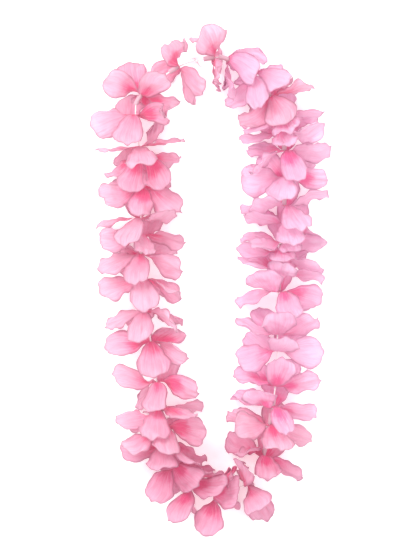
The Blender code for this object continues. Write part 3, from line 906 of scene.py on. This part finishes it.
@dataclass
class Bloom:
    """One flower sheet as it lies, crumpled, on the string."""

    name: str
    net: SheetNet
    cut: FlowerCut
    seed: int
    tone: float = 0.5
    tone_spread: float = 0.30
    thickness: float = 0.28 * MM
    hub_reach: float = 4.0 * MM
    rim_width: float = 0.8 * MM
    # How far out the petals begin to be gathered and to lift, over what length, and how much they narrow.
    gather_from: float = 9.0 * MM
    gather_over: float = 24.0 * MM
    lift_from: float = 6.0 * MM
    lift_over: float = 26.0 * MM
    narrowing: float = 0.50
    # Each form's height, and for a noise its size across and along the petal and its layer.
    crumple: float = 3.0 * MM
    crumple_size: tuple = (16.0 * MM, 16.0 * MM, 0.0)
    fine_share: float = 0.35
    fine_size: tuple = (6.5 * MM, 9.0 * MM, 5.0)
    crease: float = 1.7 * MM
    crease_level: float = 0.30
    crease_depth: float = 1.7
    crease_size: tuple = (8.0 * MM, 24.0 * MM, 3.0)
    noise_span: float = 90.0
    # The ruffles' height, the fewest and most, their least and greatest share and where one may start.
    ruffle: float = 1.9 * MM
    ruffle_counts: tuple = (5.0, 9.0)
    ruffle_shares: tuple = (0.5, 1.3)
    ruffle_starts: tuple = (0.0, 6.3)
    ruffle_centre: float = 22.0 * MM
    ruffle_reach: float = 4.5 * MM
    # The curls' height and how late they set in, the pleats and the folds of a gathered petal.
    curl: float = 4.0 * MM
    side_curl: float = 2.5
    tip_curl: int = 6
    pleat: float = 0.16 * MM
    pleat_waves: float = 24.0
    gathering: float = 1.1 * MM
    gather_waves: float = 6.0
    gather_spread: float = 0.6
    # How far off neighbouring blooms are looked for. A point lifts half of that room and the slack at most.
    look: float = 12.0 * MM
    slack: float = 0.05 * MM
    # What is added to the seed for the draws of the gathers and of the tones, and the likeliest gather.
    gather_draw: int = 900
    tone_draw: int = 500
    gather_likely: float = 0.35
    gathers: list = field(init=False)

    def __post_init__(self) -> None:
        """Draws how tightly each petal is gathered lengthwise, and to which side."""
        rng = random.Random(self.seed + self.gather_draw)
        self.gathers = [(rng.triangular(0.0, 1.0, self.gather_likely), rng.uniform(-1.0, 1.0))
                        for _ in range(PETALS)]

    def points(self) -> np.ndarray:
        """The cut's points laid on the bent sheet, with the petals gathered but not yet crumpled.

        Returns:
            The points, one row each.
        """
        cut = self.cut
        own = np.zeros((len(cut.along), 3))
        following = np.zeros_like(own)
        for k, (gather, lean) in enumerate(self.gathers):
            here = cut.petal == k
            drawn = np.clip((cut.along[here] - self.gather_from) / self.gather_over, 0.0, 1.0)
            lost = self.narrowing * gather * drawn * drawn * (3.0 - 2.0 * drawn)
            across = cut.across[here] * (1.0 - lost) + cut.width[here] * lost * lean
            own[here] = self.net.spread(k, across, cut.along[here])
            gap = here & (cut.between > 0.0)
            following[gap] = self.net.spread((k + 1) % PETALS, -cut.across[gap], cut.along[gap])
        weight = cut.between[:, None]
        return own * (1.0 - weight) + following * weight

    def waver(self, i: int, size: tuple[float, float, float], shift: Vector) -> float:
        """Smooth noise at one point of the cut.

        Args:
            i: The point.
            size: The noise's size across and along the petal, and its layer.
            shift: Where the petal lies in the noise.

        Returns:
            The noise, from -1 to 1.
        """
        wide, long, layer = size
        return noise.noise(Vector((self.cut.across[i] / wide, self.cut.along[i] / long, layer)) + shift)

    def swell(self) -> np.ndarray:
        """How far crumples, creases, ruffles, curls and pleats lift each point off the smooth sheet.

        Returns:
            The lift of each point, which may be negative.
        """
        cut = self.cut
        rng = random.Random(self.seed)
        shifts = [Vector([rng.uniform(0.0, self.noise_span) for _ in range(3)]) for _ in range(PETALS)]
        ranges = (self.ruffle_counts, self.ruffle_starts, self.ruffle_shares)
        waves = [[rng.uniform(*limits) for limits in ranges] for _ in range(PETALS)]
        curls = [[rng.uniform(-1.0, 1.0) for _ in range(3)] for _ in range(PETALS)]
        loose = np.clip((cut.along - self.lift_from) / self.lift_over, 0.0, 1.0)
        out = np.clip(cut.along / cut.tip, 0.0, 1.0)
        lift = np.zeros(len(cut.along))
        for i, k in enumerate(cut.petal):
            side = cut.side[i]
            count, start, size = waves[k]
            left, right, tip = curls[k]
            round_petal = math.atan2(cut.across[i], cut.along[i] - self.ruffle_centre)
            near_edge = math.exp(-cut.inset[i] / self.ruffle_reach)
            fold = abs(self.waver(i, self.crease_size, shifts[k]))
            folds = self.gather_waves + count * self.gather_spread
            gather = self.gathers[k][0] * math.sin(side * folds + start)
            lift[i] = self.crumple * self.waver(i, self.crumple_size, shifts[k])
            lift[i] += self.fine_share * self.crumple * self.waver(i, self.fine_size, shifts[k])
            lift[i] += self.crease * (self.crease_level - fold * self.crease_depth)
            lift[i] += self.ruffle * size * near_edge * math.sin(count * round_petal + start)
            lift[i] += self.curl * abs(side) ** self.side_curl * (left if side < 0.0 else right)
            lift[i] += self.curl * out[i] ** self.tip_curl * tip
            lift[i] += self.pleat * math.sin(side * self.pleat_waves + start)
            lift[i] += self.gathering * gather * out[i]
        return lift * loose

    def build(self, others: BVHTree, heading: Vector, cloth: list[bpy.types.Material]) -> bpy.types.Object:
        """Makes the piece.

        Args:
            others: The neighbouring blooms' solids.
            heading: The way that the sheet's face looks along the string.
            cloth: The materials of the cloth's face and reverse.

        Returns:
            The finished piece.
        """
        mesh = self.cut.mesh.copy()
        mesh.name = self.name
        points = self.points()
        mesh.vertices.foreach_set("co", points.ravel())
        mesh.update()
        normals = np.zeros(len(points) * 3)
        mesh.vertex_normals.foreach_get("vector", normals)
        inner = self.cut.along < self.hub_reach
        if normals.reshape(-1, 3)[inner].mean(axis=0) @ np.array(heading) < 0.0:
            mesh.flip_normals()
            normals = -normals
        lift = self.swell()
        reach = [others.find_nearest(Vector(p), self.look)[3] for p in points]
        room = np.array([self.look if r is None else r for r in reach])
        limit = 0.5 * (room + self.slack)
        lift = np.clip(lift, -limit, limit)
        points = points + normals.reshape(-1, 3) * lift[:, None]
        points[:, 2] = np.maximum(points[:, 2], self.thickness / 2.0)
        mesh.vertices.foreach_set("co", points.ravel())
        self.mark(mesh)
        mesh.shade_smooth()
        for material in cloth:
            mesh.materials.append(material)
        piece = placed("cloth_" + self.name, mesh)
        wall = piece.modifiers.new("cloth", "SOLIDIFY")
        wall.thickness = self.thickness
        wall.offset = 0.0
        wall.material_offset = 1
        return piece

    def mark(self, mesh: bpy.types.Mesh) -> None:
        """Writes each point's reach, side, nearness to the edge and petal's tone for the dye to follow.

        Args:
            mesh: The piece's mesh.
        """
        cut = self.cut
        rng = random.Random(self.seed + self.tone_draw)
        drawn = [self.tone + rng.uniform(-self.tone_spread, self.tone_spread) for _ in range(PETALS)]
        tones = np.clip(drawn, 0.0, 1.0)
        layer = mesh.color_attributes.new("petal", "FLOAT_COLOR", "POINT")
        values = np.column_stack([
            np.clip(cut.along / cut.tip, 0.0, 1.0), cut.side * 0.5 + 0.5,
            np.exp(-cut.inset / self.rim_width), tones[cut.petal]])
        layer.data.foreach_set("color", values.ravel())


@dataclass
class Strand:
    """The closed string through the blooms' holes, its knot and tails, and the straws on it."""

    hubs: list[Vector]
    samples: int = 24
    ply_count: int = 3
    ply_radius: float = 0.36 * MM
    ply_offset: float = 0.38 * MM
    pitch: float = 7.0 * MM
    turn_points: int = 8
    straw_radius: float = 2.4 * MM
    straw_wall: float = 0.35 * MM
    straw_start: float = 0.75 * MM
    straw_length: float = 10.9 * MM
    straw_rim: float = 0.08 * MM
    straw_sides: int = 20
    straw_cuts: int = 4
    rim_angle: float = 1.0
    heading_step: float = 1.0 * MM
    knot_at: float = 19.0 * MM
    knot_turns: float = 3.2
    knot_length: float = 2.6 * MM
    knot_radius: float = 1.25 * MM
    knot_bulge: float = 0.25 * MM
    knot_cord: float = 0.62 * MM
    knot_points: int = 64
    tail_points: int = 17
    # The two ends' bends, in millimetres along the string from the knot, out from the loop and up.
    tail_bends: tuple = (
        ((0.0, 0.9, 0.9), (1.0, 2.0, 3.0), (2.6, 2.8, 5.6), (4.4, 2.7, 7.4), (5.8, 2.6, 8.8)),
        ((0.0, -0.9, -0.9), (-1.0, -3.0, -2.8), (-2.2, -5.6, -4.6), (-3.4, -6.9, -5.3),
         (-4.6, -7.8, -5.6)))
    route: np.ndarray = field(init=False)
    marks: np.ndarray = field(init=False)
    length: float = field(init=False)

    def __post_init__(self) -> None:
        """Draws the route as a fine closed line through the hubs."""
        count = len(self.hubs)
        route = []
        for i in range(count):
            a, b, c, d = (self.hubs[(i + j) % count] for j in (-1, 0, 1, 2))
            for step in range(self.samples):
                t = step / self.samples
                route.append(0.5 * (2.0 * b + (c - a) * t + (2.0 * a - 5.0 * b + 4.0 * c - d) * t ** 2
                                    + (3.0 * b - a - 3.0 * c + d) * t ** 3))
        self.route = np.array(route)
        steps = np.linalg.norm(np.roll(self.route, -1, axis=0) - self.route, axis=1)
        self.marks = np.concatenate([[0.0], np.cumsum(steps)])
        self.length = float(self.marks[-1])

    def hub_at(self, i: int) -> float:
        """How far along the route a bloom's hole is."""
        return float(self.marks[i * self.samples])

    def place(self, along: float, out: float = 0.0, up: float = 0.0) -> Vector:
        """A place beside the route.

        Args:
            along: How far along the route.
            out: How far out from the loop.
            up: How far up.

        Returns:
            The place.
        """
        def at(distance: float) -> Vector:
            """The route's own point."""
            distance %= self.length
            i = int(np.searchsorted(self.marks, distance, side="right") - 1)
            share = (distance - self.marks[i]) / (self.marks[i + 1] - self.marks[i])
            ends = self.route[i % len(self.route)], self.route[(i + 1) % len(self.route)]
            return Vector(ends[0] * (1.0 - share) + ends[1] * share)
        heading = (at(along + self.heading_step) - at(along - self.heading_step)).normalized()
        outward = heading.cross(Vector((0.0, 0.0, 1.0))).normalized()
        return at(along) + outward * out + outward.cross(heading) * up

    def tube(self, name: str, lines: list[list[Vector]], radius: float, closed: bool) -> bpy.types.Object:
        """Makes round cords along lines.

        Args:
            name: The piece's name.
            lines: The points of each line.
            radius: The cords' radius.
            closed: Whether each line joins its own start.

        Returns:
            The piece, as a mesh.
        """
        data = bpy.data.curves.new(name, "CURVE")
        data.dimensions = "3D"
        data.bevel_depth = radius
        data.bevel_resolution = 1
        data.use_fill_caps = not closed
        for points in lines:
            spline = data.splines.new("POLY")
            spline.points.add(len(points) - 1)
            for target, point in zip(spline.points, points):
                target.co = (*point, 1.0)
            spline.use_cyclic_u = closed
        shape = placed(name + "_line", data)
        mesh = bpy.data.meshes.new_from_object(shape)
        bpy.data.objects.remove(shape, do_unlink=True)
        mesh.name = name
        mesh.shade_smooth()
        return placed(name, mesh)

    def twist(self) -> bpy.types.Object:
        """The plies of the thread, twisted round each other.

        Returns:
            The piece.
        """
        turns = round(self.length / self.pitch)
        count = turns * self.turn_points
        plies = []
        for ply in range(self.ply_count):
            line = []
            for i in range(count):
                angle = TURN * (turns * i / count + ply / self.ply_count)
                line.append(self.place(self.length * i / count, self.ply_offset * math.cos(angle),
                                       self.ply_offset * math.sin(angle)))
            plies.append(line)
        return self.tube("thread", plies, self.ply_radius, True)

    def knot(self) -> bpy.types.Object:
        """Turns of thread wound tight round the string, and the two short ends.

        Returns:
            The piece.
        """
        wraps = []
        for t in np.linspace(0.0, 1.0, self.knot_points):
            angle = TURN * self.knot_turns * t
            size = self.knot_radius + self.knot_bulge * math.sin(math.pi * t)
            wraps.append(self.place(self.knot_at + self.knot_length * (t - 0.5), size * math.cos(angle),
                                    size * math.sin(angle)))
        tails = []
        for bends in self.tail_bends:
            coarse = np.array([self.place(self.knot_at + a * MM, b * MM, c * MM) for a, b, c in bends])
            knots = np.arange(float(len(bends)))
            fine = eased(knots, coarse, np.linspace(0.0, knots[-1], self.tail_points))
            tails.append([Vector(p) for p in fine])
        return self.tube("knot", [wraps] + tails, self.knot_cord, False)

    def straw(self, i: int) -> bpy.types.Object:
        """One straw spacer, a short open tube bent along the string.

        Args:
            i: The bloom that it follows.

        Returns:
            The piece.
        """
        tube = bmesh.new()
        bmesh.ops.create_cone(tube, cap_ends=False, segments=self.straw_sides, radius1=self.straw_radius,
                              radius2=self.straw_radius, depth=self.straw_length)
        long_edges = [e for e in tube.edges if e.calc_length() > self.straw_length / 2.0]
        bmesh.ops.subdivide_edges(tube, edges=long_edges, cuts=self.straw_cuts)
        bmesh.ops.solidify(tube, geom=tube.faces[:], thickness=self.straw_wall)
        rim = [e for e in tube.edges if e.calc_face_angle(0.0) > self.rim_angle]
        bmesh.ops.bevel(tube, geom=rim, offset=self.straw_rim, segments=2, profile=0.5, affect="EDGES",
                        material=-1)
        start = self.hub_at(i) + self.straw_start + self.straw_length / 2.0
        for v in tube.verts:
            v.co = self.place(start + v.co.z, v.co.x, v.co.y)
        bmesh.ops.recalc_face_normals(tube, faces=tube.faces[:])
        mesh = mesh_of(f"spacer_{i + 1:02d}", tube)
        mesh.shade_smooth()
        return placed(mesh.name, mesh)


@dataclass
class Studio:
    """The white floor, soft lights and the camera that looks straight down."""

    floor_half: float = 3.0
    sky: float = 1.26
    # Each soft box's name, place, side in metres and power in watts.
    boxes: tuple = (
        ("box_left", (-0.9, 0.8, 1.5), 1.0, 26.0),
        ("box_right", (1.1, -0.3, 1.6), 1.4, 8.0))
    picture_height: float = 0.560
    camera_aside: float = -0.75 * MM
    camera_height: float = 2.0
    camera_reach: float = 20.0

    def floor(self) -> None:
        """Lays the floor just under the lei."""
        sheet = bmesh.new()
        bmesh.ops.create_grid(sheet, x_segments=2, y_segments=2, size=self.floor_half)
        mesh = mesh_of("floor", sheet)
        mesh.materials.append(FloorPaper().material())
        piece = placed("floor", mesh)

    def lights(self) -> None:
        """A bright even sky and two large soft boxes."""
        world = bpy.data.worlds.new("studio")
        world.use_nodes = True
        sky = world.node_tree.nodes["Background"]
        sky.inputs["Color"].default_value = (1.0, 1.0, 1.0, 1.0)
        sky.inputs["Strength"].default_value = self.sky
        bpy.context.scene.world = world
        for name, place, side, power in self.boxes:
            lamp = bpy.data.lights.new(name, "AREA")
            lamp.size = side
            lamp.energy = power
            holder = placed(name, lamp)
            holder.location = place
            holder.rotation_euler = (-Vector(place)).to_track_quat("-Z", "Y").to_euler()

    def camera(self) -> None:
        """Looks straight down on the lei, upright in the picture."""
        data = bpy.data.cameras.new("camera")
        data.type = "ORTHO"
        data.ortho_scale = self.picture_height
        data.clip_end = self.camera_reach
        holder = placed("camera", data)
        holder.location = (self.camera_aside, 0.0, self.camera_height)
        bpy.context.scene.camera = holder
        bpy.context.scene.view_settings.view_transform = "Standard"


@dataclass
class Lei:
    """The whole garland. Its lists number the blooms from 1, and its tones go from bloom to bloom."""

    count: int = 40
    neighbours: int = 4
    first_seed: int = 100
    facing_back: tuple = (2, 3, 6, 7, 9, 13, 15, 18, 20, 22, 23, 28, 32, 34, 38)
    deep: tuple = tuple(range(17, 23))
    lilac: tuple = (*range(24, 38), 39, 40)
    tones: tuple = (
        0.38, 0.40, 0.16, 0.36, 0.40, 0.24, 0.34, 0.46, 0.40, 0.50,
        0.36, 0.46, 0.20, 0.26, 0.42, 0.30, 0.36, 0.22, 0.10, 0.08,
        0.22, 0.12, 0.22, 0.48, 0.30, 0.62, 0.58, 0.30, 0.50, 0.66,
        0.74, 0.36, 0.68, 0.34, 0.46, 0.60, 0.46, 0.40, 0.58, 0.50)

    def lot(self, number: int) -> DyeLot:
        """The dye lot of a bloom."""
        if number in self.deep:
            return DyeLot.DEEP
        return DyeLot.LILAC if number in self.lilac else DyeLot.ROSE

    def solids(self, nets: list[SheetNet], i: int) -> BVHTree:
        """The solids of the blooms on both sides of one bloom.

        Args:
            nets: Every bloom's net.
            i: The bloom.

        Returns:
            A tree of their faces.
        """
        corners, faces = [], []
        for step in range(-self.neighbours, self.neighbours + 1):
            if step:
                net = nets[(i + step) % self.count]
                faces += [tuple(c + len(corners) for c in face) for face in net.faces]
                corners += net.corners
        return BVHTree.FromPolygons(corners, faces)

    def flowers(self, nets: list[SheetNet]) -> list[bpy.types.Object]:
        """Makes the flower sheets, hides the model's blooms that they replace and attaches each sheet to the
        root.

        Args:
            nets: Every bloom's net.

        Returns:
            The sheets.
        """
        cut = FlowerCut()
        cloth = {lot: [PetalCloth.of(lot, side).material() for side in ClothSide] for lot in DyeLot}
        pieces = []
        for i, net in enumerate(nets):
            heading = nets[(i + 1) % self.count].hub() - nets[i - 1].hub()
            heading *= -1.0 if i + 1 in self.facing_back else 1.0
            bloom = Bloom(net.name, net, cut, seed=self.first_seed + i, tone=self.tones[i])
            piece = bloom.build(self.solids(nets, i), heading, cloth[self.lot(i + 1)])
            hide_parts(net.name)
            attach(piece, "root")
            pieces.append(piece)
        return pieces

    def stringing(self, nets: list[SheetNet]) -> list[bpy.types.Object]:
        """Makes the thread, its knot and the straws, hides the model's string and attaches each piece to the
        root.

        Args:
            nets: Every bloom's net.

        Returns:
            The pieces.
        """
        strand = Strand([net.hub() for net in nets])
        thread = Thread().material()
        plastic = StrawPlastic().material()
        dressed = [(strand.twist(), thread), (strand.knot(), thread)]
        dressed += [(strand.straw(i), plastic) for i in range(self.count)]
        for piece, material in dressed:
            piece.data.materials.append(material)
            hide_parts("string")
            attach(piece, "root")
        LOG.info("the string is %.3f m round", strand.length)
        return [piece for piece, _ in dressed]

    def build(self) -> list[bpy.types.Object]:
        """Makes every piece, the flower sheets first."""
        nets = [SheetNet(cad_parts[f"bloom_{i + 1:02d}"]) for i in range(self.count)]
        return self.flowers(nets) + self.stringing(nets)


def main() -> None:
    """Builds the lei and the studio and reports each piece."""
    logging.basicConfig(level=logging.INFO, format="%(name)s: %(message)s")
    for piece in Lei().build():
        LOG.info("made %s with %d faces", piece.name, len(piece.data.polygons))
    studio = Studio()
    studio.floor()
    studio.lights()
    studio.camera()


if __name__ == "__main__":
    main()
